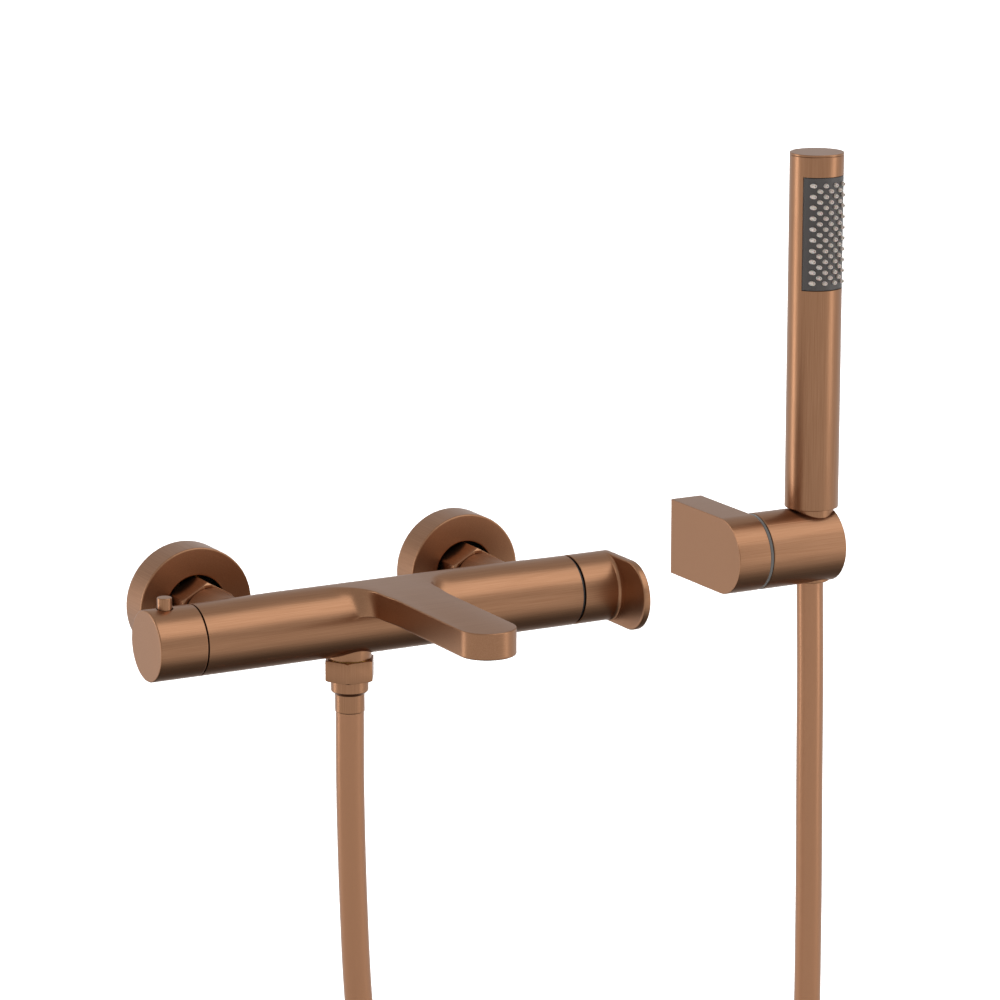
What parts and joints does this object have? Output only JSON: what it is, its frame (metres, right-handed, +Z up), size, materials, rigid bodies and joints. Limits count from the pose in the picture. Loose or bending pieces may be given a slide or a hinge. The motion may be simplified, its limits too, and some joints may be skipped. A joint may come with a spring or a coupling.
{
  "type": "bath mixer",
  "caption": "Wall mounted bath and shower mixer with fixed spout, temperature knob, flow handle, hose, swivelling wall bracket and stick hand shower.",
  "frame": {"origin": "on the wall plane, midway between the two inlets, at the height of the mixer body's axis", "axes": "+X to the right along the mixer body as seen from the room, -Y out of the wall into the room, +Z up"},
  "size_m": [0.404, 0.2095, 0.7875],
  "materials": {
    "brushed_copper": "brushed, copper coloured PVD on brass",
    "copper_hose": "smooth copper coloured PVC sheath, satin",
    "brass": "machined",
    "stainless_steel": "machined",
    "black_rubber": "matt",
    "black_plastic": "matt",
    "white_plastic": "satin",
    "ceramic": "ground and polished ceramic",
    "grey_plastic": "satin",
    "dark_plastic": "satin dark grey",
    "silicone": "soft matt silicone"
  },
  "bodies": {
    "base": {"mixer_body": "brushed_copper", "wall_union_left": "brass", "wall_union_right": "brass", "rosette_left": "brushed_copper", "rosette_right": "brushed_copper", "rosette_seals": "black_rubber", "inlet_nut_left": "brushed_copper", "inlet_nut_right": "brushed_copper", "inlet_nipples": "brass", "filter_washers": "stainless_steel", "inlet_check_valves": "white_plastic", "thermostat_cartridge": "brass", "thermostat_orings": "black_rubber", "cartridge_nuts": "brass", "stop_ring": "black_plastic", "flow_cartridge": "white_plastic", "flow_base_seal": "black_rubber", "ceramic_disc_fixed": "ceramic", "spacer_ring": "black_plastic", "aerator_housing": "grey_plastic", "aerator_screen": "stainless_steel", "outlet_nipple": "brass", "outlet_check_valve": "white_plastic", "hose_washer": "black_rubber", "hose_hex_nut": "brushed_copper", "hose_sleeve": "brushed_copper", "hose_main": "copper_hose", "bracket_block": "brushed_copper", "bracket_wall_plate": "stainless_steel", "bracket_grub_screw": "stainless_steel", "pivot_bolt": "stainless_steel", "pivot_washer": "stainless_steel", "friction_ring": "grey_plastic"},
    "temperature_knob_body": {"temperature_knob": "brushed_copper", "knob_insert": "black_plastic", "temperature_spindle": "brass", "button_spring": "stainless_steel"},
    "stop_button_body": {"stop_button": "brushed_copper"},
    "flow_handle_body": {"flow_handle": "brushed_copper", "flow_spindle": "brass", "ceramic_disc_turning": "ceramic", "handle_grub_screw": "stainless_steel"},
    "holder_body": {"holder": "brushed_copper"},
    "hose_end": {"cone_nut": "brushed_copper", "cone_sleeve": "brass", "cone_washer": "black_rubber", "hose_tail": "copper_hose"},
    "hand_shower": {"shower_tube": "brushed_copper", "shower_cap": "brushed_copper", "spray_plate": "dark_plastic", "spray_nozzles": "silicone", "spray_chamber": "white_plastic", "feed_pipe": "white_plastic", "shower_thread_end": "brass", "shower_oring": "black_rubber"}
  },
  "joints": [
    {"name": "temperature_turn", "type": "hinge", "parent": "base", "child": "temperature_knob_body", "pos_m": [-0.115, -0.075, 0], "axis": [1, 0, 0], "range_deg": [-150, 60]},
    {"name": "stop_button_press", "type": "slide", "parent": "temperature_knob_body", "child": "stop_button_body", "axis": [0, 0, -1], "range_m": [0, 0.002], "stiffness_N_per_m": 1500, "springref_m": -0.001, "deforming": ["button_spring"]},
    {"name": "flow_turn", "type": "hinge", "parent": "base", "child": "flow_handle_body", "pos_m": [0.115, -0.075, 0], "axis": [1, 0, 0], "range_deg": [-90, 90]},
    {"name": "holder_tilt", "type": "hinge", "parent": "base", "child": "holder_body", "pos_m": [0.25, -0.05, 0], "axis": [1, 0, 0], "range_deg": [-10, 25]},
    {"name": "shower_lift", "type": "slide", "parent": "holder_body", "child": "hose_end", "axis": [0, 0, 1], "range_m": [0, 0.045]},
    {"name": "shower_swivel", "type": "hinge", "parent": "hose_end", "child": "hand_shower", "pos_m": [0.2625, -0.05, 0], "axis": [0, 0, 1], "continuous": true}
  ]
}
